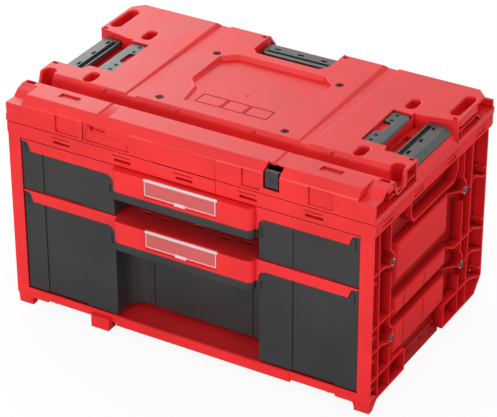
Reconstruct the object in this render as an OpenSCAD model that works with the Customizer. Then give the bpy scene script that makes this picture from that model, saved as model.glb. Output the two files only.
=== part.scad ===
// Portable tool box with two drawers, a stacking cover and ribbed outer sides.
// Millimetres, +Z up, -Y is the front. The origin is at the middle of the box, on the ground.
// Lengths in Y inside the modules are measured back from the front frame's face.

/* [Carcass] */
// Width over the rim
body_w = 585; // [560:5:620]
// Depth from the front frame to the rear rim
body_d = 360; // [350:2:380]
// Height of the cover's platform above the ground
body_h = 342; // [338:1:348]
// Height of the joint between chest and cover
seam_z = 301; // [299:1:303]
// Wall thickness of the red mouldings
wall = 2.5; // [2:0.1:3]
// Thickness of the outer ribs
rib_t = 2.8; // [2.2:0.1:3]

/* [Drawers] */
// Half width of the drawer bay
bay_half = 270; // [266:1:271]
// Height of the bay's front sill
sill_z = 30; // [29:1:31]
// Top of the upper drawer
upper_top = 277.5; // [276:0.5:278]
// Bottom of the upper drawer
upper_bottom = 197; // [196.5:0.5:198]
// Top of the lower drawer
lower_top = 195.5; // [194:0.5:195.5]
// Bottom of the lower drawer
lower_bottom = 31.5; // [31:0.5:33]
// Wall thickness of the drawer tubs
tub_wall = 2.5; // [2:0.1:3]
// How far the handles stand in front of the frame
handle_out = 11.5; // [9:0.5:12]

/* [Runners] */
// Length of the runner rails
rail_len = 300; // [290:5:305]
// Height of the fixed rail
rail_h = 35; // [34:1:36]
// Sheet thickness of the rails
rail_t = 1.3; // [1:0.1:1.4]
// Diameter of the bearing balls
ball_d = 4; // [3.6:0.1:4.2]

/* [Hidden] */
$fn = 48;

red = "#e23a3a";
grey = "#434343";
plate_grey = "#7d8283";
steel = "#b9bcbe";
clear = "#f4dede";

half_w = body_w / 2;
label_out = handle_out + 1.5;
front_y = -(body_d - label_out) / 2;
frame_half = half_w - 2.5;
rib_half = half_w - 3;
skin_half = bay_half + wall;
rim_z = seam_z - 18;
deck_z = rim_z;
frame_t = 3;
rear_wall_y = body_d - 8;
bay_back = body_d - 18;
floor_z = sill_z - 3;
under_z = 14;
bosses = [[63, 211.5], [285, 211.5], [65, 89.5], [283, 89.5]];
boss_r = 6.5;
boss_end = half_w - 5.5;
runner_bore_r = 2.6;
slot_pitch = 100;
rail_front = 12;
upper_rail_z = 211.5;
lower_rail_z = 89.5;

// ---- shared shapes ----

module from_front() {
  translate([0, front_y, 0])
    children();
}

module both_sides() {
  children();
  mirror([1, 0, 0])
    children();
}

// A block between two corners.
module block(low, high) {
  translate(low)
    cube(high - low);
}

// A flat outline in (Y, Z), extruded along X.
module along_x(x0, x1) {
  translate([x0, 0, 0])
    rotate([90, 0, 90])
      linear_extrude(x1 - x0)
        children();
}

// A flat outline in (X, Z), extruded along Y.
module along_y(y0, y1) {
  translate([0, y1, 0])
    rotate([90, 0, 0])
      linear_extrude(y1 - y0)
        children();
}

function unit(v) = v / norm(v);
function left_of(v) = [-v[1], v[0]];
function normal_before(p, i) = left_of(unit(i == 0 ? p[1] - p[0] : p[i] - p[i - 1]));
function normal_after(p, i) = left_of(unit(i == len(p) - 1 ? p[i] - p[i - 1] : p[i + 1] - p[i]));
function shifted(p, i, t) =
  let (a = normal_before(p, i), b = normal_after(p, i))
  p[i] + t * (a + b) / (1 + a * b);

// The path p with each inner corner turned into a few chords of radius r, or less where the path is short.
function rounded(p, r) =
  let (n = len(p) - 1)
  [for (i = [0 : n])
    if (i == 0 || i == n) p[i]
    else each corner(p[i - 1], p[i], p[i + 1], r)];
function corner(a, b, c, r) =
  let (
    u = unit(a - b),
    v = unit(c - b),
    half = acos(max(-1, min(1, u * v))) / 2,
    reach = min(r / tan(half), norm(a - b) * 0.45, norm(c - b) * 0.45)
  )
  [for (t = [0, 0.25, 0.5, 0.75, 1]) b + (1 - t) * (1 - t) * reach * u + t * t * reach * v];

// A bent strip along the path p, from t0 to t1 on the path's left.
module strip(p, t0, t1) {
  n = len(p) - 1;
  polygon(concat(
    [for (i = [0 : n]) shifted(p, i, t0)],
    [for (i = [n : -1 : 0]) shifted(p, i, t1)]
  ));
}

module rounded_square(low, high, r) {
  translate([low[0] + r, low[1]])
    square([high[0] - low[0] - 2 * r, high[1] - low[1]]);
  translate([low[0], low[1] + r])
    square([high[0] - low[0], high[1] - low[1] - 2 * r]);
  for (x = [low[0] + r, high[0] - r], y = [low[1] + r, high[1] - r])
    translate([x, y])
      circle(r);
}

// ---- chest shell ----

// The row of blind slots in the rim: a thin one over a thick one, cut along the face.
module rim_slots_front() {
  for (i = [-2 : 2])
    translate([i * slot_pitch, 0, 0]) {
      block([-16, -3, rim_z + 10.4], [13, 1.2, rim_z + 11.6]);
      block([-13, -3, rim_z + 2], [14, 7, rim_z + 6]);
    }
}

module rim_slots_side() {
  for (y = [36, 127, 227, 319]) {
    block([half_w - 2.4, y - 12, rim_z + 11], [half_w + 1, y + 15, rim_z + 12.2]);
    block([half_w - 3.2, y - 14, rim_z + 3], [half_w + 1, y + 14, rim_z + 7]);
  }
}

module front_frame() {
  difference() {
    union() {
      block([-frame_half, 0, 17], [frame_half, frame_t, rim_z]);
      block([-118, -1, under_z - 1], [166, frame_t, sill_z - 1]);
      block([-half_w + 1, 0, rim_z], [half_w - 1, frame_t, seam_z]);
      block([-49, -0.8, rim_z - 3.5], [50, 1, seam_z - 0.3]);
      // Pockets behind the rim's thick slots
      for (i = [-2 : 2])
        block([i * slot_pitch - 15, 2, rim_z - 1], [i * slot_pitch + 16, 9, rim_z + 8]);
    }
    block([-bay_half, -2, sill_z], [bay_half, frame_t + 1, rim_z - 4]);
  }
}

// The outer ribs of one side, drawn on the side's own plane.
module side_ribs() {
  x0 = skin_half - 0.5;
  lines = [
    [[19, rim_z + 1], [24, under_z]],
    [[52, rim_z + 1], [52, 236.5], [63, 224.5], [63, 214]],
    [[55, 199], [55, 116.5], [65, 104.5], [65, 92]],
    [[57, 79], [57, under_z]],
    [[275, rim_z + 1], [275, 236.5], [285, 224.5], [285, 214]],
    [[275, 199], [275, 116.5], [283, 104.5], [283, 92]],
    [[272, 77], [272, under_z]],
    [[302, rim_z + 1], [298, under_z]],
    [[2, 218.5], [35, 218.5], [50, 211.5], [61, 211.5]],
    [[2, 133.5], [70, 133.5]],
    [[2, 95.5], [35, 95.5], [52, 88.5], [63, 89.5]],
    [[2, 50.5], [100, 50.5], [104, 46.5], [104, under_z]],
    [[287, 211.5], [302, 213.5], [306, 218.5], [317, 218.5], [340, 206.5], [351, 203.5]],
    [[252, 133.5], [315, 133.5], [340, 121.5], [351, 118.5]],
    [[285, 89.5], [300, 93], [304, 95.5], [315, 95.5], [340, 84.5], [351, 82.5]],
    [[226, under_z], [226, 46], [230, 50.5], [310, 50.5], [340, 38.5], [351, 36]],
    [[110, rim_z + 1], [110, 258], [119, 247], [244, 247], [253, 258], [253, rim_z + 1]]
  ];
  for (p = lines)
    along_x(x0, rib_half)
      strip(p, -rib_t / 2, rib_t / 2);
  for (z = [206.5, 120.5, 82.5, 37.5])
    block([x0, 1, z - rib_t / 2], [rib_half, 13, z + rib_t / 2]);
  along_x(x0, rib_half)
    strip([[2, under_z], [30, 15.5], [105, 15.5]], -1.2, 1.2);
}

// A rib that runs down from the plane of the outer ribs to the skin.
module slanted_rib(y0, z0, length, angle) {
  depth = rib_half - skin_half;
  translate([skin_half - 0.5, y0, z0])
    rotate([-angle, 0, 0])
      mirror([0, 1, 0])
        linear_extrude(rib_t)
          polygon([[0, 0], [depth + 0.2, 0], [depth + 0.2, 8], [0.5, length], [0, length]]);
}

// One of the three sloping panels between the ribs: proud at its top edge, flush at its foot.
module side_panel(z_low, z_high) {
  proud = 14;
  x0 = skin_half - 0.5;
  foot = min(26, (z_high - z_low) * 0.35);
  difference() {
    intersection() {
      along_y(70, 252)
        polygon(rounded([[x0, z_low], [x0 + 0.6, z_low], [skin_half + proud - 1.5, z_low + foot],
          [skin_half + proud, z_high - 1.5], [x0, z_high]], 5));
      translate([0, 0, z_low - 1])
        linear_extrude(z_high - z_low + 2)
          polygon(rounded([[x0, 74], [skin_half + 2, 74], [skin_half + proud, 80], [skin_half + proud, 229],
            [skin_half, 250], [x0, 250]], 9));
    }
    // Slits of the lower panels
    if (z_low < 140)
      for (y = [104, 166])
        block([skin_half + 1, y, z_low], [skin_half + proud + 1, y + 1.6, z_high - 4]);
  }
}

module side_solid() {
  // Inner skin, down to the skirt and back to the rear edge strip
  block([bay_half, 1, under_z], [skin_half, rear_wall_y - 2.4, deck_z]);
  // Rim band
  block([half_w - 4, frame_t - 1, rim_z], [half_w - 1, body_d - frame_t + 1, seam_z]);
  // Webs under the rim, open over the hand-hold
  block([bay_half, 1, deck_z - wall], [half_w - 2, 110, deck_z]);
  block([bay_half, 253, deck_z - wall], [half_w - 2, body_d - 1, deck_z]);
  side_ribs();
  slanted_rib(284, 210.8, 50, 13);
  slanted_rib(254, 132.9, 20, 13);
  slanted_rib(282, 88.8, 50, 13);
  side_panel(148, 231);
  side_panel(104, 143);
  side_panel(34, 99);
  for (b = bosses)
    translate([bay_half, b[0], b[1]])
      rotate([0, 90, 0])
        cylinder(r = boss_r, h = boss_end - bay_half);
  // Stacking flange under the skin, and the pads beside it
  block([bay_half + 1, 124, 7], [bay_half + 5, 236, floor_z]);
  along_y(124, 236)
    polygon([[bay_half + 1, 0], [bay_half + 7, 0], [bay_half + 7, 8], [bay_half + 5, 10], [bay_half + 1, 10]]);
}

module front_foot() {
  along_x(265, frame_half - 1.5)
    polygon([[0.5, 18], [2, 0], [12, 0], [28, 14.5], [28, 17], [12, floor_z - 1], [0.5, floor_z - 1]]);
  // Web to the front plate's lower edge
  along_y(0, frame_t)
    polygon([[235, 17], [262, 17], [266, 8], [266, 20], [235, 20]]);
  block([236, 0, under_z], [266, frame_t, 18]);
}

module rear_foot() {
  block([242, 316, 0], [264, 340, floor_z - 1]);
}

// The small pocketed bracket at the left of the front sill.
module front_hook() {
  block([-157, -8, 4], [-127, 12, 23.5]);
}

module floor_ribs() {
  for (x = [-225, -150, -75, 0, 75, 150, 225])
    block([x - rib_t / 2, 2, under_z], [x + rib_t / 2, bay_back, floor_z - 1]);
  for (y = [70, 140, 210, 280])
    block([-bay_half, y, under_z], [bay_half, y + rib_t, floor_z - 1]);
}

module back_wall() {
  block([-bay_half, bay_back, under_z], [bay_half, bay_back + wall, deck_z]);
  for (x = [-268, -210, -156, -104, 104, 156, 210, 268])
    block([x - rib_t / 2, bay_back + 1, under_z], [x + rib_t / 2, rear_wall_y, rim_z + 1]);
  for (z = [50.5, 133.5, 218.5])
    both_sides()
      block([103, bay_back + 1, z - rib_t / 2], [rib_half, rear_wall_y, z + rib_t / 2]);
  block([-104, bay_back + 1, under_z], [104, rear_wall_y - 1.5, rim_z + 1]);
  block([-skin_half + 6, bay_back + 1, under_z], [skin_half - 6, rear_wall_y, under_z + wall]);
  // Edge strips that close the side ribs below and behind
  both_sides() {
    along_x(skin_half, rib_half)
      strip([[225, under_z], [330, under_z], [rear_wall_y - 1.2, 36], [rear_wall_y - 1.2, rim_z + 1]], -1.2, 1.2);
    block([skin_half - 6, rear_wall_y - 2.4, 40], [skin_half + 1, rear_wall_y, rim_z + 1]);
  }
  // Rear rim band and its web
  block([-half_w + 1, body_d - frame_t, rim_z], [half_w - 1, body_d, seam_z]);
  block([-half_w + 2, bay_back, deck_z - wall], [half_w - 2, body_d - 1, deck_z]);
}

// Everything of the chest but its side walls.
module shell_solid() {
  front_frame();
  both_sides() {
    front_foot();
    rear_foot();
  }
  block([-bay_half, 1, floor_z - wall], [bay_half, bay_back + wall, floor_z]);
  block([-bay_half, 1, deck_z - wall], [bay_half, bay_back + wall, deck_z]);
  floor_ribs();
  back_wall();
  front_hook();
}

module chest_shell() {
  color(red)
    from_front()
      difference() {
        shell_solid();
        rim_slots_front();
        seam_groove();
        // Pocket of the front bracket, open below
        block([-154.5, -5.5, 3], [-129.5, 9.5, 21]);
        // Pilot bores of the cover screws in the deck
        for (x = [-100, 100], y = [100.5, 256.5])
          translate([x, y, deck_z - 6])
            cylinder(r = 1.75, h = 8);
        // Windows in the plain back panel
        for (x = [-60, 60])
          block([x - 34, rear_wall_y - 4, 60], [x + 34, rear_wall_y, 120]);
      }
}

// Shadow line under the cover's seam.
module seam_groove() {
  difference() {
    block([-half_w, -1, seam_z - 1], [half_w, body_d + 1, seam_z + 1]);
    block([-half_w + 2.4, 1.4, seam_z - 2], [half_w - 2.4, body_d - 1.4, seam_z + 2]);
  }
}

module side_wall() {
  difference() {
    side_solid();
    shell_solid();
    for (b = bosses)
      translate([bay_half - 1, b[0], b[1]])
        rotate([0, 90, 0]) {
          cylinder(r = runner_bore_r, h = half_w - bay_half);
          translate([0, 0, boss_end - bay_half + 1])
            cylinder(r = 7, h = 10);
        }
    // Blind holes over the stacking flange
    for (y = [145, 182, 220])
      translate([bay_half + 1, y, 17])
        rotate([0, 90, 0])
          cylinder(r = 3, h = 8);
    rim_slots_side();
    seam_groove();
  }
}

module right_side_wall() {
  color(red)
    from_front()
      side_wall();
}

module left_side_wall() {
  color(red)
    from_front()
      mirror([1, 0, 0])
        side_wall();
}

// ---- top cover ----

cover_t = 3.5;
bulkhead = half_w - 26;
valley_z = 318;
notch_front = 119.5;
notch_back = 243;
lock_x = 135.5;

// Outline of the cover from the front seam over strip, valley and platform to the rear seam.
cover_path = rounded([
  [0, seam_z], [0, 333], [14, body_h], [54, body_h], [63, valley_z],
  [77, valley_z], [85, body_h], [343, body_h], [body_d - 1, 323], [body_d, seam_z + 0.5]
], 6);

// A channel with sloping sides along Y. Over the platform its floor falls towards the rear.
module groove_cut() {
  section = [[131, 0], [145.5, 0], [151.5, 6], [151.5, 12], [125, 12], [125, 6]];
  translate([0, 0, body_h - 2])
    along_y(-1, 70)
      polygon(section);
  translate([0, 66, body_h - 1.7])
    rotate([-0.75, 0, 0])
      along_y(0, body_d - 60)
        polygon(section);
}

// A tapered pocket cut from the platform: wide outline on top, narrow one on a floor that falls backwards.
module tapered_cut(top, bottom, fall) {
  hull() {
    translate([0, 0, body_h])
      linear_extrude(0.5)
        polygon(top);
    multmatrix([[1, 0, 0, 0], [0, 1, 0, 0], [0, -fall, 1, body_h - 3 + fall * 112], [0, 0, 0, 1]])
      linear_extrude(0.1)
        polygon(bottom);
  }
}

module centre_recess() {
  fall = 5 / 156;
  tapered_cut(
    [[-91, 172], [-91, 250], [-70, 268], [70, 268], [91, 250], [91, 172], [74, 153], [-74, 153]],
    [[-89, 173], [-89, 249], [-69, 266], [69, 266], [89, 249], [89, 173], [73, 155], [-73, 155]],
    fall
  );
  tapered_cut(
    [[-75, 157], [75, 157], [67, 110], [-67, 110]],
    [[-73, 160], [73, 160], [65, 112], [-65, 112]],
    fall
  );
}

// Three plain framed fields at the front of the recess.
module field_frames() {
  for (f = [[-55, -15], [-13, 21], [23, 59]])
    translate([0, 0, body_h - 5])
      linear_extrude(10)
        difference() {
          translate([f[0], 120])
            square([f[1] - f[0], 27]);
          translate([f[0] + 1.2, 121.2])
            square([f[1] - f[0] - 2.4, 24.6]);
        }
}

module long_hole(x, y, w, l, z0) {
  translate([0, 0, z0])
    linear_extrude(body_h - z0 + 2)
      rounded_square([x - w / 2, y - l / 2], [x + w / 2, y + l / 2], min(w, l) / 2 - 0.01);
}

// Chamfer round the rim of a long hole.
module hole_rim(x, y, w, l, c) {
  run = (l - w) / 2;
  for (s = [-1, 1])
    translate([x, y + s * run, body_h - c])
      cylinder(r1 = w / 2, r2 = w / 2 + c + 0.2, h = c + 0.2);
  along_y(y - run, y + run)
    polygon([[x - w / 2, body_h - c], [x + w / 2, body_h - c], [x + w / 2 + c + 0.2, body_h + 0.2],
      [x - w / 2 - c - 0.2, body_h + 0.2]]);
}

// Walls and floors of the pockets under the cover's holes.
module hole_pockets() {
  both_sides() {
    for (y = [104, 257.5])
      block([206, y - 16.5, body_h - 14], [225, y + 16.5, body_h - 1]);
    translate([0, 0, body_h - 19])
      linear_extrude(18)
        rounded_square([267.5, 254.5], [287.5, 320.5], 9.9);
    translate([0, 0, valley_z - 5])
      linear_extrude(body_h - valley_z + 4)
        rounded_square([266, 66], [289, 102], 11);
    block([270, 38, body_h - 14], [290, 53.5, body_h - 1]);
  }
}

module cover_holes() {
  both_sides() {
    for (y = [104, 257.5]) {
      long_hole(215.5, y, 15, 29, body_h - 12);
      hole_rim(215.5, y, 15, 29, 1.6);
    }
    long_hole(277.5, 287.5, 16, 62, body_h - 17);
    hole_rim(277.5, 287.5, 16, 62, 1.6);
    long_hole(277.5, 84, 19, 32, valley_z - 3);
    long_hole(280, 46, 16, 12.5, body_h - 11);
    translate([0, 0, body_h - 3])
      linear_extrude(8)
        rounded_square([191, 30], [223, 42], 1);
    for (y = [115.5, 247])
      block([281, y - 2.5, body_h - 6], [288, y + 2.5, body_h + 1]);
    block([64, 334, body_h - 8], [70, 339, body_h + 1]);
  }
}

// Space for the plates at the sides, cut out of the platform.
module side_notch_cut() {
  translate([0, 0, valley_z + 2.5])
    linear_extrude(body_h - valley_z)
      polygon([[229, 132.5], [238, 132.5], [241, notch_front], [half_w + 1, notch_front],
        [half_w + 1, notch_back + 1], [239, 233.5], [229, 233.5]]);
  block([199, 131.8, body_h - 7], [229.5, 229.4, body_h + 1]);
  along_y(notch_front, notch_back + 0.5)
    polygon([[half_w - 9, valley_z + 3], [half_w + 1, seam_z + 3], [half_w + 1, body_h + 1],
      [half_w - 9, body_h + 1]]);
}

// Walls and floor of a side notch.
module side_notch_walls() {
  translate([0, 0, seam_z + 8])
    linear_extrude(body_h - seam_z - 9) {
      strip([[half_w - 1.5, notch_front], [241, notch_front], [238, 132.5], [227, 132.5]], 0, wall);
      strip([[227, 233.5], [239, 233.5], [half_w - 1.5, notch_back + 0.7]], 0, wall);
    }
  block([226.5, 130, valley_z - 1], [229, 236, body_h - 7]);
  // Floor with its sunk slot
  difference() {
    union() {
      translate([0, 0, valley_z])
        linear_extrude(2.5)
          polygon([[227, 130.5], [237, 130.5], [240, 117.5], [half_w - 9, 117.5], [half_w - 9, 244], [240, 235.5],
            [227, 235.5]]);
      block([228, 156, valley_z - 6], [242, 208, valley_z + 1]);
    }
    block([231, 158, valley_z - 4.5], [240, 206, valley_z + 3]);
  }
  // Seat of the inner plate
  block([199 - wall, 129.3, body_h - 9.5], [229, 231.9, body_h - 7]);
  for (y = [129.3, 229.4])
    block([199 - wall, y, body_h - 9.5], [229, y + wall, body_h - 1]);
  block([199 - wall, 129.3, body_h - 9.5], [199, 231.9, body_h - 1]);
  along_y(notch_front - 1, notch_back + 1)
    strip([[half_w - 9, valley_z + 2.5], [half_w, seam_z + 3], [half_w, seam_z]], -wall, 0);
  // Seat of the outer plate
  for (y = [128, 164, 203])
    block([264, y - 1.2, valley_z + 2], [half_w - 17, y + 1.2, body_h - 11.3]);
}

module rear_notch_cut() {
  difference() {
    block([-61, 285.5, valley_z + 2.5], [61, body_d + 1, body_h + 1]);
    both_sides()
      linear_extrude(body_h + 2)
        polygon([[61.1, 285], [61.1, 297], [50, 285]]);
  }
}

module rear_notch_walls() {
  block([-63, 283, valley_z], [63, 285.5, body_h - 1]);
  both_sides()
    block([61, 284, valley_z], [63.5, 345, body_h - 1]);
  block([-63, 284, valley_z], [63, body_d - 5, valley_z + 2.5]);
  block([-63, body_d - 7, seam_z], [63, body_d - 4, valley_z + 2.5]);
}

// Hollow end of the cover: flange band, webs and the inner bulkhead.
module cover_end() {
  block([half_w - 3, 0.5, seam_z], [half_w, body_d, seam_z + 10]);
  block([bulkhead, 1, seam_z + 8], [half_w - 1, body_d - 1, seam_z + 10]);
  along_x(bulkhead - wall, bulkhead)
    polygon([for (i = [0 : len(cover_path) - 1]) shifted(cover_path, i, -1)]);
  block([bulkhead - 1, 40, 319.5], [rib_half, notch_front - 1, 321.5]);
  along_x(bulkhead - 1, rib_half)
    strip([[notch_back, 320.5], [309, 320.5], [321, 310]], -1, 1);
  block([bulkhead - 1, 268, seam_z + 9], [rib_half - 4, 270.2, body_h - 1]);
}

// Skin of the low step at each front corner of the cover.
module corner_ledge() {
  along_x(bulkhead - wall, half_w - 1.5)
    strip([[1, 330], [19, 330], [28, 337.5], [38, 340.2], [44, body_h]], -wall, 0);
}

// The whole space under the cover's outline.
module cover_block() {
  along_x(-half_w + 1.5, half_w - 1.5)
    polygon(cover_path);
}

// Extra thickness behind the recessed fields of the front face.
module front_backing() {
  for (x = [[-212, -170], [-166, -86], [87, 120], [189, 230]])
    block([x[0], 0.5, seam_z + 0.5], [x[1], 7, 332]);
}

// The recessed fields and the plain bracket relief of the front face.
module front_face_cuts() {
  for (x = [[-209.5, -172], [89.5, 118], [191, 228]])
    block([x[0], -1, seam_z + 3], [x[1], 3.4, 331]);
  difference() {
    block([-164, -1, seam_z + 3], [-88, 1.6, 332]);
    along_y(-0.5, 2)
      strip([[-160, 304], [-160, 318], [-155, 327], [-147, 320], [-110, 317], [-100, 320], [-93, 313], [-93, 306]],
        -1.5, 1.5);
  }
  block([-151, -1, 323.5], [-127, 5, 329]);
}

module corner_ledge_cut() {
  along_x(bulkhead - 1.5, half_w + 1)
    polygon([[-1, 330], [19, 330], [28, 337.5], [40, body_h - 1], [44, body_h + 2], [-1, body_h + 2]]);
}

module lock_niche_block() {
  block([lock_x - 16, 0.5, seam_z + 3], [lock_x + 16, 16, 332]);
}

module lock_niche_cut() {
  block([lock_x - 12.5, -1, seam_z + 8], [lock_x + 12.5, 9, body_h + 2]);
  block([lock_x - 12.5, -1, 331], [lock_x + 12.5, 17, body_h + 2]);
  block([lock_x - 3, 8, seam_z + 9], [lock_x + 3, 18, body_h + 2]);
  block([lock_x - 6, 10.1, seam_z + 1], [lock_x + 6, 13, body_h + 2]);
}

module top_cover() {
  color(red)
    from_front()
      difference() {
        union() {
          along_x(-half_w + 1.5, half_w - 1.5)
            strip(cover_path, -cover_t, 0);
          block([-half_w, 0, seam_z], [half_w, cover_t, seam_z + 4]);
          block([-half_w, body_d - cover_t, seam_z], [half_w, body_d, seam_z + 10]);
          block([-49.5, -1, seam_z + 0.3], [49.5, 1, 332.5]);
          block([-100, 108, body_h - 12], [100, 272, body_h - 1]);
          both_sides() {
            cover_end();
            for (x = [60, 180])
              block([x, 82, body_h - 14], [x + rib_t, 288, body_h - 1]);
          }
          for (x = [-100, 100], y = [100.5, 256.5])
            translate([x, y, deck_z])
              cylinder(r = 6, h = body_h - deck_z - 1);
          lock_niche_block();
          front_backing();
          intersection() {
            cover_block();
            union() {
              hole_pockets();
              // Thicker skin under the channels
              both_sides()
                block([121, 79, body_h - 9], [155.5, body_d, body_h - 1]);
            }
          }
        }
        both_sides() {
          groove_cut();
          side_notch_cut();
          corner_ledge_cut();
          // Chamfered rear corners
          translate([0, 0, seam_z + 22])
            linear_extrude(60)
              polygon([[half_w - 16, 342], [half_w + 2, 324], [half_w + 2, body_d + 2], [half_w - 16, body_d + 2]]);
        }
        cover_holes();
        rear_notch_cut();
        centre_recess();
        field_frames();
        front_face_cuts();
        lock_niche_cut();
        for (x = [-100, 100], y = [100.5, 256.5])
          translate([x, y, deck_z - 1]) {
            cylinder(r = 2.3, h = 80);
            translate([0, 0, body_h - deck_z - 2.4])
              cylinder(r = 5.6, h = 10);
          }
      }
  color(red)
    from_front() {
      both_sides() {
        side_notch_walls();
        corner_ledge();
      }
      rear_notch_walls();
      block([-1.6, 170, body_h - 5.4], [1.6, 173, body_h - 3.6]);
    }
}

// ---- screws ----

// A pan-head screw along -Z from its head's seat at z = 0.
module pan_screw(shank_r, head_r, head_h, length) {
  difference() {
    union() {
      cylinder(r = head_r, h = head_h * 0.6);
      translate([0, 0, head_h * 0.6])
        cylinder(r1 = head_r, r2 = head_r * 0.75, h = head_h * 0.4);
      translate([0, 0, -length])
        cylinder(r = shank_r, h = length + 0.1);
    }
    translate([0, 0, head_h - 1.5])
      cylinder(r = head_r * 0.45, h = 2, $fn = 6);
  }
}

module cover_screws() {
  color(grey)
    from_front()
      for (x = [-100, 100], y = [100.5, 256.5])
        translate([x, y, body_h - 3.4])
          pan_screw(1.7, 5, 2.6, 58);
}

module runner_screws() {
  for (b = bosses)
    translate([boss_end + 1, b[0], b[1]])
      rotate([0, 90, 0])
        pan_screw(2.5, 3.6, 2.2, boss_end - bay_half + 1.6);
}

module right_runner_screws() {
  color(grey)
    from_front()
      runner_screws();
}

module left_runner_screws() {
  color(grey)
    from_front()
      mirror([1, 0, 0])
        runner_screws();
}

module runner_washers() {
  for (b = bosses)
    translate([boss_end, b[0], b[1]])
      rotate([0, 90, 0])
        difference() {
          cylinder(r = 5.8, h = 1);
          translate([0, 0, -1])
            cylinder(r = 2.7, h = 3);
        }
}

module right_runner_washers() {
  color(steel)
    from_front()
      runner_washers();
}

module left_runner_washers() {
  color(steel)
    from_front()
      mirror([1, 0, 0])
        runner_washers();
}

// ---- connector plates ----

plate_z = body_h - 8.8;

// A plate with a lip, a sunk gutter, a land with sunk slots and a flange that slopes down.
// Its x runs across the plate, from the gutter's outer edge.
module gutter_plate(length, lip, gap, land, slot_x, slots) {
  end = length / 2;
  difference() {
    union() {
      along_y(-end, end)
        polygon([[-gap - lip, -2.2], [-gap - lip, 0], [land, 0], [land + 8, -8], [land + 6.4, -9.6],
          [land - 0.9, -2.2], [1.8, -2.2], [1.8, -7.6], [-gap - 1.8, -7.6], [-gap - 1.8, -2.2]]);
      for (y = slots)
        block([slot_x - 3.2, y - 6, -7.6], [slot_x + 3.2, y + 6, -1]);
    }
    translate([0, 0, -5.8])
      linear_extrude(7)
        rounded_square([-gap, 6 - end], [0, end - 6], 1.5);
    for (y = slots)
      translate([slot_x, y, -6.4])
        linear_extrude(8)
          rounded_square([-2, -4.8], [2, 4.8], 1);
  }
}

module outer_plate() {
  translate([260.7, 178, plate_z])
    gutter_plate(114, 2.7, 7.5, half_w - 14.5 - 260.7, 4, [-33, 5, 43.5]);
}

module right_outer_plate() {
  color(plate_grey)
    from_front()
      outer_plate();
}

module left_outer_plate() {
  color(plate_grey)
    from_front()
      mirror([1, 0, 0])
        outer_plate();
}

module inner_plate() {
  difference() {
    along_y(132.5, 228.8)
      polygon([[199.8, body_h - 7], [199.8, body_h - 3], [224.5, body_h - 3], [227.5, body_h - 4],
        [228.8, body_h - 7]]);
    translate([0, 0, body_h - 8])
      linear_extrude(8) {
        rounded_square([190, 169], [212, 199], 4);
        polygon([[222, 230], [230, 230], [230, 217]]);
      }
    for (y = [142.2, 157.4, 204.8, 220.6])
      block([207, y - 2.2, body_h - 6.4], [211.4, y + 2.2, body_h]);
  }
}

module right_inner_plate() {
  color(plate_grey)
    from_front()
      inner_plate();
}

module left_inner_plate() {
  color(plate_grey)
    from_front()
      mirror([1, 0, 0])
        inner_plate();
}

module rear_plate() {
  color(plate_grey)
    from_front()
      difference() {
        translate([0, 318.5, plate_z])
          rotate([0, 0, 90])
            gutter_plate(113, 7.5, 5, 17.5, 7, [-38, 0, 38]);
        // Cut front corners
        both_sides()
          translate([0, 0, plate_z - 4])
            linear_extrude(6)
              polygon([[48, 305], [58, 305], [58, 315]]);
      }
}

// ---- runners ----

module fixed_rail(z) {
  x0 = bay_half - 11;
  difference() {
    union() {
      block([bay_half - rail_t, rail_front, z - rail_h / 2], [bay_half, rail_front + rail_len, z + rail_h / 2]);
      for (s = [-1, 1])
        translate([x0, rail_front, z + s * (rail_h - rail_t) / 2 - rail_t / 2])
          cube([11, rail_len, rail_t]);
    }
    for (b = bosses)
      if (abs(b[1] - z) < 5)
        translate([x0 - 1, b[0], b[1]])
          rotate([0, 90, 0])
            cylinder(r = runner_bore_r, h = 14);
  }
}

module upper_right_fixed_rail() {
  color(steel)
    from_front()
      fixed_rail(upper_rail_z);
}

module upper_left_fixed_rail() {
  color(steel)
    from_front()
      mirror([1, 0, 0])
        fixed_rail(upper_rail_z);
}

module lower_right_fixed_rail() {
  color(steel)
    from_front()
      fixed_rail(lower_rail_z);
}

module lower_left_fixed_rail() {
  color(steel)
    from_front()
      mirror([1, 0, 0])
        fixed_rail(lower_rail_z);
}

// Clear space between the flanges of neighbouring rails.
ball_gap = ball_d + 0.6;
middle_h = rail_h - 2 * rail_t - 2 * ball_gap;
drawer_rail_h = middle_h - 2 * rail_t - 2 * ball_gap;

// The middle rail: a channel that opens towards the drawer.
module middle_rail(z) {
  x_web = bay_half - 3.5;
  difference() {
    union() {
      block([x_web, rail_front, z - middle_h / 2], [x_web + rail_t, rail_front + rail_len, z + middle_h / 2]);
      for (s = [-1, 1])
        translate([bay_half - 9.8, rail_front, z + s * (middle_h - rail_t) / 2 - rail_t / 2])
          cube([7.6, rail_len, rail_t]);
    }
    for (y = [100, 240])
      block([x_web - 1, y - 30, z - 3], [x_web + rail_t + 1, y + 30, z + 3]);
  }
}

module upper_middle_rails() {
  color(steel)
    from_front()
      both_sides()
        middle_rail(upper_rail_z);
}

module lower_middle_rails() {
  color(steel)
    from_front()
      both_sides()
        middle_rail(lower_rail_z);
}

// One row of balls in its cage strip.
module ball_row(y0, z) {
  x = bay_half - 6.4;
  pitch = 24;
  for (i = [0 : 5])
    translate([x, y0 + i * pitch, z])
      sphere(d = ball_d, $fn = 24);
  block([x - 0.5, y0 - 4, z - 1.2], [x + 0.5, y0 + 5 * pitch + 4, z + 1.2]);
}

module ball_rows(z) {
  outer = middle_h / 2 + ball_gap / 2;
  inner = drawer_rail_h / 2 + ball_gap / 2;
  for (s = [-1, 1]) {
    ball_row(170, z + s * outer);
    ball_row(30, z + s * inner);
  }
}

module upper_ball_rows() {
  color(steel)
    from_front()
      both_sides()
        ball_rows(upper_rail_z);
}

module lower_ball_rows() {
  color(steel)
    from_front()
      both_sides()
        ball_rows(lower_rail_z);
}

tub_half = bay_half - 12.5;
rivets = [40, 160, 280];

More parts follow.
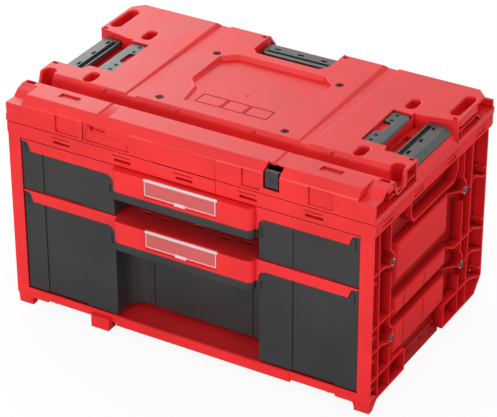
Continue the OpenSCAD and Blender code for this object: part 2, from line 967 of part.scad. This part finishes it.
module drawer_rail(z) {
  difference() {
    union() {
      block([tub_half, rail_front, z - drawer_rail_h / 2],
        [tub_half + rail_t, rail_front + rail_len, z + drawer_rail_h / 2]);
      for (s = [-1, 1])
        translate([tub_half, rail_front, z + s * (drawer_rail_h - rail_t) / 2 - rail_t / 2])
          cube([8.1, rail_len, rail_t]);
    }
    for (y = rivets)
      translate([tub_half - 1, y, z])
        rotate([0, 90, 0])
          cylinder(r = 1.8, h = 4);
  }
}

module upper_drawer_rails() {
  color(steel)
    from_front()
      both_sides()
        drawer_rail(upper_rail_z);
}

module lower_drawer_rails() {
  color(steel)
    from_front()
      both_sides()
        drawer_rail(lower_rail_z);
}

// Rivets that hold the drawer rail on the tub.
module rail_rivets(z) {
  for (y = rivets)
    translate([tub_half - tub_wall, y, z])
      rotate([0, 90, 0]) {
        translate([0, 0, -1])
          cylinder(r = 3.4, h = 1);
        cylinder(r = 1.7, h = tub_wall + rail_t);
        translate([0, 0, tub_wall + rail_t])
          cylinder(r = 2.8, h = 0.9);
      }
}

module upper_rail_rivets() {
  color(steel)
    from_front()
      both_sides()
        rail_rivets(upper_rail_z);
}

module lower_rail_rivets() {
  color(steel)
    from_front()
      both_sides()
        rail_rivets(lower_rail_z);
}

// ---- drawers ----

tub_front = 2;
tub_back = 326;
recess_half = 116;
recess_back = 48;
panel_half = bay_half - 1;
fascia_t = 2.5;
fascia_back = 53;
handle_half = 112;
handle_h = 34;
lip_h = 46.5;
strip_h = 17.5;
cheek_round = 12;

// Plan of the finger recess between the two cheeks.
module recess_plan(grow) {
  rounded_square([-recess_half - grow, -60], [recess_half + grow, recess_back + grow], 24 + grow);
}

// Plan of the handle that stands in front of the cheeks.
module handle_plan(shrink) {
  intersection() {
    rounded_square([-handle_half + shrink, -handle_out + shrink], [handle_half - shrink, 40], 9 - shrink);
    translate([-200, -50])
      square([400, 50 + tub_front]);
  }
}

// Front outline of one cheek: its inner top corner is round, its outer top corner steps up.
module cheek_front(bottom, top) {
  difference() {
    union() {
      translate([recess_half, bottom])
        square([panel_half - recess_half, top - strip_h - cheek_round - bottom]);
      translate([recess_half + cheek_round, bottom])
        square([panel_half - recess_half - cheek_round, top - strip_h - bottom]);
      translate([recess_half + cheek_round, top - strip_h - cheek_round])
        circle(cheek_round);
      polygon([[254, top - strip_h - 1], [258, top - 5], [262, top - fascia_t], [panel_half, top - fascia_t],
        [panel_half, top - strip_h - 1]]);
    }
    // Fine recessed notch beside the step
    translate([panel_half - 7, top - strip_h - 6])
      square([1, strip_h]);
  }
}

module tub(bottom, top) {
  rim = top - fascia_t;
  difference() {
    union() {
      translate([0, 0, bottom])
        linear_extrude(top - bottom)
          difference() {
            translate([-tub_half, tub_front])
              square([2 * tub_half, tub_back - tub_front]);
            recess_plan(0);
          }
      both_sides() {
        along_y(tub_front, tub_front + tub_wall)
          cheek_front(bottom, top);
        block([panel_half - tub_wall, tub_front, bottom], [panel_half, 8, top - fascia_t]);
      }
    }
    // Inside of the tub
    translate([0, 0, bottom + tub_wall])
      linear_extrude(top)
        difference() {
          rounded_square([-tub_half + tub_wall, tub_front + tub_wall],
            [tub_half - tub_wall, tub_back - tub_wall], 6);
          recess_plan(tub_wall);
        }
    // Seat of the fascia on the front rim
    block([-tub_half - 1, tub_front - 5, rim], [tub_half + 1, fascia_back + 0.5, top + 1]);
    both_sides() {
      // Space for the fascia's front over and beside the cheeks
      along_y(tub_front - 5, tub_front + 1.2)
        difference() {
          translate([100, top - handle_h - 0.3])
            square([panel_half - 99, handle_h + 2]);
          cheek_front(bottom, top);
        }
      // Recessed field in the middle of the cheek, and the short slot beside the handle
      block([168, tub_front - 1, bottom - 1], [235, tub_front + 1.6, top - strip_h + 1]);
      block([recess_half + 3, tub_front - 1, top - 48], [recess_half + 6.5, tub_front + 1.7, top - 33]);
      // Fine joint lines of the centre panel
      block([79.3, recess_back - 1, bottom - 1], [82.8, recess_back + 1.2, top - lip_h - 8]);
    }
    for (s = [-1, 1], y = rivets, z = [upper_rail_z, lower_rail_z])
      if (z > bottom && z < top)
        translate([s * tub_half - 4, y, z])
          rotate([0, 90, 0])
            cylinder(r = 1.8, h = 8);
  }
  // Thicker wall behind the recessed fields
  both_sides()
    block([166, tub_front + 2, bottom + 1], [237, tub_front + 4, top - strip_h - 1]);
  // Shelf under the handle with its down-turned lip
  shelf_z = top - handle_h - 2.5;
  translate([0, 0, shelf_z])
    linear_extrude(2.5) {
      translate([-recess_half - 1, tub_front])
        square([2 * recess_half + 2, recess_back - tub_front + 1]);
      handle_plan(0);
    }
  translate([0, 0, top - lip_h])
    linear_extrude(lip_h - handle_h)
      difference() {
        handle_plan(0);
        handle_plan(tub_wall);
      }
}

module upper_tub() {
  color(grey)
    from_front()
      tub(upper_bottom, upper_top);
}

module lower_tub() {
  color(grey)
    from_front()
      tub(lower_bottom, lower_top);
}

hinge_drop = 2.7;
hinge_y = -handle_out + 1.8;
bar_r = 2.2;
bar_half = 58.5;
pin_r = 1;
pin_bore_r = 1.06;
cover_drop = 22.3;

// The fascia's front outline on one side: strip over the cheek, with the fillet down to the handle.
module fascia_front(top) {
  difference() {
    union() {
      translate([handle_half - 4, top - strip_h + 0.4])
        square([253 - handle_half + 4, strip_h - 0.4]);
      translate([handle_half - 4, top - handle_h])
        square([recess_half + cheek_round - handle_half + 4, handle_h]);
      polygon([[252, top], [252, top - strip_h + 0.4], [253.2, top - strip_h + 0.4], [257.2, top - 5.6],
        [261, top - fascia_t], [panel_half, top - fascia_t], [panel_half, top]]);
    }
    translate([recess_half + cheek_round, top - strip_h - cheek_round])
      circle(cheek_round + 0.4);
    translate([recess_half - 0.4, top - handle_h - 1])
      square([20, handle_h - strip_h - cheek_round + 1]);
  }
}

module fascia(top) {
  difference() {
    union() {
      // Top plate that sits on the tub's rim
      translate([0, 0, top - fascia_t])
        linear_extrude(fascia_t) {
          translate([-tub_half, 0.2])
            square([2 * tub_half, fascia_back - 0.2]);
          translate([-panel_half, 0.2])
            square([2 * panel_half, 6]);
          handle_plan(0);
        }
      both_sides()
        along_y(0.2, tub_front + 1.1)
          fascia_front(top);
      // Walls of the handle
      translate([0, 0, top - handle_h])
        linear_extrude(handle_h)
          difference() {
            handle_plan(0);
            handle_plan(2.4);
          }
      // Thick pad behind the label
      block([-62, -handle_out + 0.5, top - 31], [62, -handle_out + 5.5, top]);
    }
    // Shallow label field and the channel of the hinge bar
    block([-57.5, -handle_out - 1, top - 29], [57.5, -handle_out + 1, top - 3]);
    block([-bar_half - 0.4, -handle_out - 1, top - hinge_drop - 2.6], [bar_half + 0.4, hinge_y, top + 1]);
    translate([-bar_half - 0.4, hinge_y, top - hinge_drop])
      rotate([0, 90, 0])
        cylinder(r = bar_r + 0.35, h = 2 * bar_half + 0.8);
    block([-bar_half - 0.4, hinge_y - 1, top - hinge_drop], [bar_half + 0.4, hinge_y + bar_r + 0.35, top + 1]);
    translate([-bar_half - 2.6, hinge_y, top - hinge_drop])
      rotate([0, 90, 0])
        cylinder(r = pin_bore_r, h = 2 * bar_half + 5.2);
    // Snap slots in the top plate
    for (p = [[-50.5, 28], [49, 27], [-82, 32], [0, 36], [81, 32]])
      translate([p[0], p[1], top - fascia_t - 1])
        linear_extrude(5)
          rounded_square([-9, -2], [9, 2], 1.5);
  }
}

module upper_fascia() {
  color(red)
    from_front()
      fascia(upper_top);
}

module lower_fascia() {
  color(red)
    from_front()
      fascia(lower_top);
}

// Clear cover: a flat window under a round hinge bar with a pin at each end, and a finger tab below.
module label_cover(top) {
  translate([-bar_half, hinge_y, top - hinge_drop])
    rotate([0, 90, 0])
      cylinder(r = bar_r, h = 2 * bar_half);
  translate([-bar_half - 2.3, hinge_y, top - hinge_drop])
    rotate([0, 90, 0])
      cylinder(r = pin_r, h = 2 * bar_half + 4.6);
  block([-56.5, -label_out + 0.4, top - hinge_drop - cover_drop], [56.5, -handle_out + 0.2, top - hinge_drop]);
  translate([0, 0, top - hinge_drop - cover_drop - 2.6])
    linear_extrude(5.2)
      rounded_square([-9, -label_out], [9, -handle_out - 0.3], 0.5);
}

module upper_label_cover() {
  color(clear)
    from_front()
      label_cover(upper_top);
}

module lower_label_cover() {
  color(clear)
    from_front()
      label_cover(lower_top);
}

// ---- stacking lock ----

lock_bottom = seam_z + 9.5;

module lock_slider() {
  color(grey)
    from_front()
      difference() {
        union() {
          block([lock_x - 10, 1.5, lock_bottom], [lock_x + 10, 7, lock_bottom + 26]);
          block([lock_x - 10, 5.5, lock_bottom], [lock_x + 10, 8.4, lock_bottom + 20]);
          block([lock_x - 2.5, 8, lock_bottom + 2], [lock_x + 2.5, 11.5, lock_bottom + 14]);
          block([lock_x - 5.5, 10.6, lock_bottom + 2], [lock_x + 5.5, 12.6, lock_bottom + 14]);
        }
        // Plain arrow mark
        along_y(0, 2.6)
          polygon([[lock_x - 2.6, lock_bottom + 10], [lock_x + 2.6, lock_bottom + 10], [lock_x, lock_bottom + 17]]);
        // Finger ledge
        along_x(lock_x - 11, lock_x + 11)
          polygon([[1, lock_bottom - 1], [3, lock_bottom - 1], [1, lock_bottom + 2]]);
      }
}

// Bent leaf spring behind the slider: its feet lie on the cover, its bow reaches through the slot.
module lock_spring() {
  color(steel)
    from_front() {
      along_x(lock_x - 2.6, lock_x + 2.6)
        strip([[16, 304], [16, 312], [13.5, 318], [16, 324], [16, 331]], -0.5, 0);
      for (z = [304, 325])
        block([lock_x - 6, 16, z], [lock_x + 6, 16.5, z + 6]);
    }
}

chest_shell();
left_side_wall();
right_side_wall();
top_cover();
cover_screws();
left_outer_plate();
left_inner_plate();
right_outer_plate();
right_inner_plate();
rear_plate();
left_runner_screws();
right_runner_screws();
left_runner_washers();
right_runner_washers();
upper_left_fixed_rail();
upper_right_fixed_rail();
lower_left_fixed_rail();
lower_right_fixed_rail();
upper_middle_rails();
lower_middle_rails();
upper_ball_rows();
lower_ball_rows();
upper_drawer_rails();
lower_drawer_rails();
upper_rail_rivets();
lower_rail_rivets();
upper_tub();
lower_tub();
upper_fascia();
lower_fascia();
upper_label_cover();
lower_label_cover();
lock_slider();
lock_spring();
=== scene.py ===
import math

import bmesh
import bpy
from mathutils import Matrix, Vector, kdtree


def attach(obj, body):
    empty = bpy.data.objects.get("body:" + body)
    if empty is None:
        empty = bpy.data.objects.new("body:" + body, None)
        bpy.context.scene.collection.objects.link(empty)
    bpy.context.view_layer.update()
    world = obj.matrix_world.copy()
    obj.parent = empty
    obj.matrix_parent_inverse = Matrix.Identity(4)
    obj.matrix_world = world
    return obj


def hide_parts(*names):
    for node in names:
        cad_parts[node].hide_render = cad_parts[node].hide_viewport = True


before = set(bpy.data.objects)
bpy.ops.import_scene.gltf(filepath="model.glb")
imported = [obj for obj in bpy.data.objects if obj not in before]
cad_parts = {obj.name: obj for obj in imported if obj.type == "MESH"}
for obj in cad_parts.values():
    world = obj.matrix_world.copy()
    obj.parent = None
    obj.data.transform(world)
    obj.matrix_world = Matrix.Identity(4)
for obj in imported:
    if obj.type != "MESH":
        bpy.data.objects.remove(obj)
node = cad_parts
scene = bpy.context.scene
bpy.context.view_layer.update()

# ---- camera and studio ----
# The photograph's own view: a long lens from the front right, about 30 degrees above the bench.
# The studio is a pale floor under an even sky, with two softboxes and a large panel behind.

camera_data = bpy.data.cameras.new("camera")
camera_data.sensor_width = 36
camera_data.lens = 167.2
camera_data.shift_x = -0.0002
camera_data.shift_y = 0.0053
camera_data.clip_end = 60
camera = bpy.data.objects.new("camera", camera_data)
camera.location = (1.44125, -2.47037, 1.83269)
camera.rotation_euler = [math.radians(a) for a in (59.5209, 0.1439, 30.1745)]
scene.collection.objects.link(camera)
scene.camera = camera

scene.view_settings.view_transform = "Standard"


class Wire:
    """A value in a node tree. It takes part in sums, and node() adds any other node of the tree."""

    def __init__(self, tree, socket):
        self.tree, self.socket = tree, socket

    def node(self, kind, settings, sockets, output=0):
        made = self.tree.nodes.new(kind)
        for name, value in settings.items():
            setattr(made, name, value)
        for name, value in sockets.items():
            if isinstance(value, Wire):
                self.tree.links.new(value.socket, made.inputs[name])
            else:
                made.inputs[name].default_value = value
        return Wire(self.tree, made.outputs[output]) if made.outputs else None

    def sum(self, operation, a, b=0.0):
        return self.node("ShaderNodeMath", {"operation": operation}, {0: a, 1: b})

    def __add__(self, other):
        return self.sum("ADD", self, other)

    def __sub__(self, other):
        return self.sum("SUBTRACT", self, other)

    def __mul__(self, other):
        return self.sum("MULTIPLY", self, other)

    def __radd__(self, other):
        return self.sum("ADD", other, self)

    def __rsub__(self, other):
        return self.sum("SUBTRACT", other, self)

    def __rmul__(self, other):
        return self.sum("MULTIPLY", other, self)

    def ramp(self, low, high, start=0.0, end=1.0):
        return self.node(
            "ShaderNodeMapRange",
            {"interpolation_type": "SMOOTHSTEP"},
            {"Value": self, "From Min": low, "From Max": high, "To Min": start, "To Max": end},
        )

    def mix(self, a, b, factor):
        return self.node("ShaderNodeMix", {"data_type": "RGBA"}, {0: factor, 6: a, 7: b}, output=2)

    def noise(self, place, scale, detail=2.0, roughness=0.5):
        sockets = {"Vector": place, "Scale": scale, "Detail": detail, "Roughness": roughness}
        return self.node("ShaderNodeTexNoise", {}, sockets)

    def axis(self, letter):
        return self.node("ShaderNodeSeparateXYZ", {}, {0: self}, output=letter)


def start_tree(owner):
    owner.use_nodes = True
    owner.node_tree.nodes.clear()
    return Wire(owner.node_tree, None)


def ray_is(w, kind):
    return w.node("ShaderNodeLightPath", {}, {}, output="Is " + kind + " Ray")


sky = bpy.data.worlds.new("sky")
scene.world = sky
w = start_tree(sky)
upward = w.node("ShaderNodeTexCoord", {}, {}, output="Generated").axis("Z")
# Shiny and clear surfaces see the white backdrop, and matt ones get an even, weaker sky.
white = w.sum("MAXIMUM", ray_is(w, "Camera"), ray_is(w, "Transmission"))
white = w.sum("MAXIMUM", white, ray_is(w, "Glossy"))
horizon_light, zenith_gain = 0.32, 0.62
strength = white + (1 - white) * (horizon_light + zenith_gain * upward.ramp(0.0, 1.0))
light = w.node("ShaderNodeBackground", {}, {"Color": (1, 1, 1, 1), "Strength": strength})
w.node("ShaderNodeOutputWorld", {}, {"Surface": light})

# Place, width and power of the lamps: low in front and at the right, and high behind at the left.
lamp_target = Vector((0, 0, 0.17))
for name, place, width, power in (
    ("front_softbox", (-0.6, -3.2, 0.42), 1.8, 66),
    ("right_softbox", (3.1, -1.2, 0.6), 1.6, 34),
    ("back_panel", (-3.0, 2.3, 2.0), 3.0, 63),
):
    lamp_data = bpy.data.lights.new(name, "AREA")
    lamp_data.shape = "DISK"
    lamp_data.size = width
    lamp_data.energy = power
    lamp = bpy.data.objects.new(name, lamp_data)
    lamp.location = place
    lamp.rotation_euler = (lamp_target - lamp.location).to_track_quat("-Z", "Y").to_euler()
    lamp.visible_camera = False
    scene.collection.objects.link(lamp)

# The camera sees the floor nearly white, and the matt share under that keeps the object's shadow.
floor_half, floor_glow, glow_share = 9, 1.11, 0.82
corners = [(x * floor_half, y * floor_half, 0) for x, y in ((-1, -1), (1, -1), (1, 1), (-1, 1))]
floor_mesh = bpy.data.meshes.new("floor")
floor_mesh.from_pydata(corners, [], [(0, 1, 2, 3)])
floor = bpy.data.objects.new("floor", floor_mesh)
scene.collection.objects.link(floor)
floor_material = bpy.data.materials.new("floor")
w = start_tree(floor_material)
matt = w.node("ShaderNodeBsdfDiffuse", {}, {"Color": (0.5, 0.5, 0.5, 1)})
glow = w.node("ShaderNodeEmission", {}, {"Color": (1, 1, 1, 1), "Strength": floor_glow})
both = w.node("ShaderNodeMixShader", {}, {0: ray_is(w, "Camera") * glow_share, 1: matt, 2: glow})
w.node("ShaderNodeOutputMaterial", {}, {"Surface": both})
floor_mesh.materials.append(floor_material)

# ---- chest ----
# The frame round the drawers with floor, deck, back and feet: one injection moulding in red
# copolymer. The tool leaves a fine eroded grain, and every outer edge of the part is broken.


def broken_edges(piece, name, width):
    """A copy of a CAD piece with its edges rounded as the mould makes them, wherever there is room."""
    weld, no_area, folded_cosine = 2e-6, 1e-12, 0.3
    flat, corner_angle, shaded_angle = (math.radians(a) for a in (0.5, 25, 34))
    plain = bmesh.new()
    plain.from_mesh(node[piece].data)
    bmesh.ops.remove_doubles(plain, verts=plain.verts, dist=weld)
    bmesh.ops.dissolve_limit(plain, angle_limit=flat, verts=plain.verts, edges=plain.edges)
    for group in (plain.verts, plain.edges, plain.faces):
        group.index_update()
        group.ensure_lookup_table()
    corner = {
        e.index for e in plain.edges if len(e.link_faces) == 2 and e.calc_face_angle() > corner_angle
    }
    nearest = kdtree.KDTree(len(plain.verts))
    for v in plain.verts:
        nearest.insert(v.co, v.index)
    nearest.balance()
    while True:
        cut = plain.copy()
        cut.edges.ensure_lookup_table()
        edges = [cut.edges[i] for i in sorted(corner)]
        made = bmesh.ops.bevel(
            cut, geom=edges, offset=width, offset_type="OFFSET", segments=2, profile=0.5,
            affect="EDGES", clamp_overlap=False, miter_outer="SHARP", loop_slide=True,
        )
        for face in cut.faces:
            face.normal_update()
        # An edge without room folds its neighbour over: it stays sharp.
        folded = set()
        for a, b, c in cut.calc_loop_triangles():
            normal = (b.vert.co - a.vert.co).cross(c.vert.co - a.vert.co)
            turned = normal.dot(a.face.normal) < folded_cosine * normal.length
            if normal.length > no_area and turned:
                folded |= {nearest.find(p.vert.co)[1] for p in (a, b, c)}
        sharp = {e.index for i in folded for e in plain.verts[i].link_edges} & corner
        if not sharp:
            break
        corner -= sharp
        cut.free()
    rounded = cut.faces.layers.float.new("rounded")
    for face in made["faces"]:
        if face.is_valid:
            face[rounded] = 1.0
    for face in cut.faces:
        face.smooth = True
    for e in cut.edges:
        e.smooth = len(e.link_faces) == 2 and e.calc_face_angle() < shaded_angle
    mesh = bpy.data.meshes.new(name)
    cut.to_mesh(mesh)
    cut.free()
    plain.free()
    part = bpy.data.objects.new(name, mesh)
    scene.collection.objects.link(part)
    # Large flat faces keep their own normal, and the rounded edges run between them.
    even = part.modifiers.new("even", "WEIGHTED_NORMAL")
    even.keep_sharp = True
    even.weight = 80
    return part


def finish_piece(piece, name, body, material, edge):
    part = broken_edges(piece, name, edge)
    part.data.materials.append(material)
    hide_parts(piece)
    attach(part, body)
    return part


def shade(colour, gain, lift=0.0):
    return tuple(min(1, c * gain + lift) for c in colour) + (1,)


def moulded_plastic(
    name, colour, roughness, grain=0.00005, painted_edge_highlight=0.35, gloss=0.5, painted_recess_shade=0.0, alone=False
):
    """Satin moulded plastic: eroded grain, flow marks and fine scuffs, painted shade in grooves and
    joints, and a painted highlight on the rounded edges, which are also a little smoother.

    grain is the depth of the eroded skin, painted_edge_highlight the strength of the painted highlight
    on the rounded edges, gloss the specular level, and soiled how dark the painted shade is on a side
    wall's skin between its ribs.
    """
    light_flow, dark_flow = shade(colour, 1.04, 0.002), shade(colour, 0.92)
    worn_and_highlit, recess_shade_colour, painted_groove_shade = shade(colour, 1.12, 0.05), shade(colour, 0.3), shade(colour, 0.15)
    material = bpy.data.materials.new(name)
    w = start_tree(material)
    place = w.node("ShaderNodeTexCoord", {}, {}, output="Object")
    edge = w.node("ShaderNodeAttribute", {"attribute_name": "rounded"}, {}, output="Fac")
    flow = w.noise(place, 14, 3)
    speckle = w.noise(place, 260, 2, 0.6)
    # Scuffs are long fine strokes that all lean one way, in a few patches only.
    stroke = {"Vector": place, "Rotation": (0.5, 0.2, 0.7), "Scale": (9, 140, 140)}
    strokes = w.noise(w.node("ShaderNodeMapping", {}, stroke), 1.6, 4, 0.62)
    scuff = strokes.ramp(0.66, 0.78) * w.noise(place, 5.5, 2).ramp(0.5, 0.68)
    # Rounded edges get a painted highlight, broken up by noise, and are a little smoother; the scuffs
    # use the same lighter colour as real wear.
    rubbed_edge_highlight = edge * w.noise(place, 75, 3, 0.6).ramp(0.25, 0.6, 0.45, 1.0)
    base = w.mix(dark_flow, light_flow, flow.ramp(0.3, 0.7))
    base = w.mix(base, worn_and_highlit, scuff * 0.3 + rubbed_edge_highlight * painted_edge_highlight)
    # Painted shade: the skin of a side wall between its ribs is darkened, most where it lies furthest
    # in.
    if painted_recess_shade:
        # Half widths of the box at the wall's skin and just below the tips of its ribs.
        skin_at, tips_at = 0.2735, 0.2890
        outward = w.sum("ABSOLUTE", place.axis("X"))
        base = w.mix(base, recess_shade_colour, outward.ramp(skin_at, tips_at, painted_recess_shade, 0.0))
    rough = roughness + 0.05 * flow.ramp(0.35, 0.65) + 0.06 * (speckle - 0.5)
    rough = rough + 0.1 * scuff - 0.08 * rubbed_edge_highlight
    # Painted shade from ambient occlusion darkens grooves and, unless the piece counts alone, its
    # joints with others.
    settings = {"samples": 6, "only_local": alone}
    groove_width = 0.004
    open_air = w.node("ShaderNodeAmbientOcclusion", settings, {"Distance": groove_width}, output="AO")
    base = w.mix(painted_groove_shade, base, open_air.ramp(0.25, 0.85, 0.1, 1.0))
    height = w.noise(place, 900, 1) * 0.6 + w.noise(place, 2100, 0) * 0.4
    bump = w.node("ShaderNodeBump", {}, {"Strength": 0.3, "Distance": grain, "Height": height})
    shader = w.node(
        "ShaderNodeBsdfPrincipled",
        {},
        {"Base Color": base, "Roughness": rough, "Specular IOR Level": gloss, "Normal": bump},
    )
    w.node("ShaderNodeOutputMaterial", {}, {"Surface": shader})
    material.diffuse_color = tuple(colour) + (1,)
    return material


copolymer_red = (0.79, 0.013, 0.016)
red = moulded_plastic("red_plastic", copolymer_red, 0.40, painted_edge_highlight=0.6, gloss=0.45)
finish_piece("chest_shell", "chest_shell_moulding", "chest", red, edge=0.0007)

# ---- side walls ----
# The two ribbed sides in the same red plastic, with the hand-hold under the rim and the bosses
# that take the runner screws. They are welded between floor and rim of the chest.

# The side walls get painted shade on their skin between the ribs and a strong painted highlight on the
# rib edges.
ribbed_red = moulded_plastic(
    "ribbed_red_plastic", copolymer_red, 0.44, painted_edge_highlight=1.0, gloss=0.12, painted_recess_shade=0.8
)
for side in ("left", "right"):
    wall = side + "_side_wall"
    finish_piece(wall, wall + "_moulding", "chest", ribbed_red, edge=0.0006)

# ---- cover ----
# One large red moulding: front strip, valley, platform and the notches for the connector plates.
# Four screws hold it on the chest's deck.

finish_piece("top_cover", "top_cover_moulding", "chest", red, edge=0.0009)

# ---- connector plates ----
# Glass-filled grey mouldings with lip, gutter and sunk slots, which sit in the cover's notches.
# The hooks of other boxes slide in them, so their edges are rubbed and the skin is smoother, and their
# rounded edges get a painted highlight.

plate = moulded_plastic("plate_plastic", (0.055, 0.059, 0.058), 0.34, grain=0.00004, painted_edge_highlight=0.6)
for seat in ("left_outer", "left_inner", "right_outer", "right_inner", "rear"):
    name = seat + "_plate"
    finish_piece(name, name + "_moulding", "chest", plate, edge=0.0006)

# ---- runners and screws ----
# Ball runners with rails roll-formed from zinc-plated sheet, screwed to the side walls through
# washers and riveted to the tubs. The lock's leaf spring is of the same sheet, and the cover's
# screws are blackened.


def plated_steel(name, colour, roughness, streak=60):
    """Plated sheet or wire: faint rolling lines, cloudy passivation and small dull spots."""
    material = bpy.data.materials.new(name)
    w = start_tree(material)
    place = w.node("ShaderNodeTexCoord", {}, {}, output="Object")
    stretch = {"Vector": place, "Scale": (streak * 12, streak * 0.3, streak * 12)}
    lines = w.noise(w.node("ShaderNodeMapping", {}, stretch), 1.0, 3, 0.6)
    cloud = w.noise(place, 45, 4, 0.6)
    spots = w.noise(place, 420, 2).ramp(0.62, 0.72)
    dull_grey = (0.42, 0.42, 0.43, 1)
    base = w.mix(shade(colour, 0.82), shade(colour, 1), cloud.ramp(0.35, 0.65))
    base = w.mix(base, dull_grey, spots * 0.5)
    rough = roughness + 0.1 * cloud.ramp(0.3, 0.7) + 0.08 * (lines - 0.5) + 0.15 * spots
    bump = w.node("ShaderNodeBump", {}, {"Strength": 0.25, "Distance": 0.00002, "Height": lines})
    sockets = {"Base Color": base, "Metallic": 1.0, "Roughness": rough, "Normal": bump}
    shader = w.node("ShaderNodeBsdfPrincipled", {}, sockets)
    w.node("ShaderNodeOutputMaterial", {}, {"Surface": shader})
    material.diffuse_color = tuple(colour) + (1,)
    return material


def plate_in(material, *names):
    for name in names:
        node[name].data.materials.clear()
        node[name].data.materials.append(material)


zinc = plated_steel("zinc_plated_steel", (0.62, 0.63, 0.64), 0.28)
for level in ("upper", "lower"):
    for rails, body in (
        ("_left_fixed_rail", "chest"),
        ("_right_fixed_rail", "chest"),
        ("_middle_rails", level + "_middle"),
        ("_drawer_rails", level + "_drawer"),
    ):
        name = level + rails
        finish_piece(name, name + "_rolled", body, zinc, edge=0.0003)
    plate_in(zinc, level + "_ball_rows", level + "_rail_rivets")
plate_in(zinc, "lock_spring", "left_runner_washers", "right_runner_washers")
dull_zinc = plated_steel("screw_steel", (0.12, 0.12, 0.125), 0.36, streak=30)
plate_in(dull_zinc, "left_runner_screws", "right_runner_screws")
blackened = plated_steel("black_screw_steel", (0.035, 0.035, 0.037), 0.42, streak=30)
plate_in(blackened, "cover_screws")

# ---- drawer tubs ----
# Deep anthracite trays, each one moulding, whose fronts are two cheeks and the finger recess
# between them. Their sides are riveted to the drawer rails.

anthracite = moulded_plastic("anthracite_plastic", (0.021, 0.021, 0.022), 0.42, painted_edge_highlight=0.5)
for level in ("upper", "lower"):
    tub, body = level + "_tub", level + "_drawer"
    finish_piece(tub, tub + "_moulding", body, anthracite, edge=0.0008)

# ---- fascias ----
# Red bars with the pull handle, in the chest's copolymer, snapped over the tub's front rim.
# The clear label cover lies on the handle, so this red counts alone and gets no painted shade below
# it.

covered_red = moulded_plastic(
    "covered_red_plastic", copolymer_red, 0.40, painted_edge_highlight=0.6, gloss=0.45, alone=True
)
for level in ("upper", "lower"):
    fascia, body = level + "_fascia", level + "_drawer"
    finish_piece(fascia, fascia + "_moulding", body, covered_red, edge=0.0008)

# ---- label covers ----
# Clear plastic covers over the handles' label fields, with a lightly frosted window. Two pins of
# the bar at the top edge turn in the fascia, and a tab at the bottom edge lifts the cover.

clear = bpy.data.materials.new("clear_plastic")
w = start_tree(clear)
place = w.node("ShaderNodeTexCoord", {}, {}, output="Object")
haze = w.noise(place, 120, 3)
rough = 0.18 + 0.12 * haze
# The bar and the tab are thick, and the window's rim guides light: they are milky.
rim_starts, rim_full = 0.0552, 0.0556
clear_tint, milky_tint = (0.45, 0.4, 0.4, 1), (0.9, 0.88, 0.88, 1)
thick = w.node("ShaderNodeAttribute", {"attribute_name": "thick"}, {}, output="Fac")
sides = w.sum("ABSOLUTE", place.axis("X")).ramp(rim_starts, rim_full)
share_of_height = w.node("ShaderNodeTexCoord", {}, {}, output="Generated").axis("Z")
bottom = share_of_height.ramp(0.118, 0.138, 1.0, 0.0)
milky = w.sum("MAXIMUM", thick, w.sum("MAXIMUM", sides, bottom))
tint = w.mix(clear_tint, milky_tint, milky)
opacity = 0.11 + 0.05 * haze + 0.36 * milky
ripple = w.noise(place, 500, 2)
bump = w.node("ShaderNodeBump", {}, {"Strength": 0.2, "Distance": 0.00005, "Height": ripple})
shader = w.node(
    "ShaderNodeBsdfPrincipled",
    {},
    {"Base Color": tint, "Roughness": rough, "IOR": 1.49, "Alpha": opacity, "Normal": bump},
)
w.node("ShaderNodeOutputMaterial", {}, {"Surface": shader})
# Drop from the drawer's top edge to the bar's lower side and to the tab's upper side.
bar_drop, tab_drop, tab_half = 0.0052, 0.0222, 0.0092
for level, top in (("upper", 0.2775), ("lower", 0.1955)):
    body = level + "_label"
    cover = finish_piece(body + "_cover", body + "_window", body, clear, edge=0.0003)
    thickness = cover.data.attributes.new("thick", "FLOAT", "FACE")
    for face, mark in zip(cover.data.polygons, thickness.data):
        drop = top - face.center.z
        on_tab = drop > tab_drop and abs(face.center.x) < tab_half
        mark.value = float(drop < bar_drop or on_tab)

# ---- stacking lock ----
# A small anthracite slider in a niche of the cover's front strip, with the leaf spring behind it.
# It rises into the hook of the box above.

finish_piece("lock_slider", "lock_slider_moulding", "lock", anthracite, edge=0.0005)
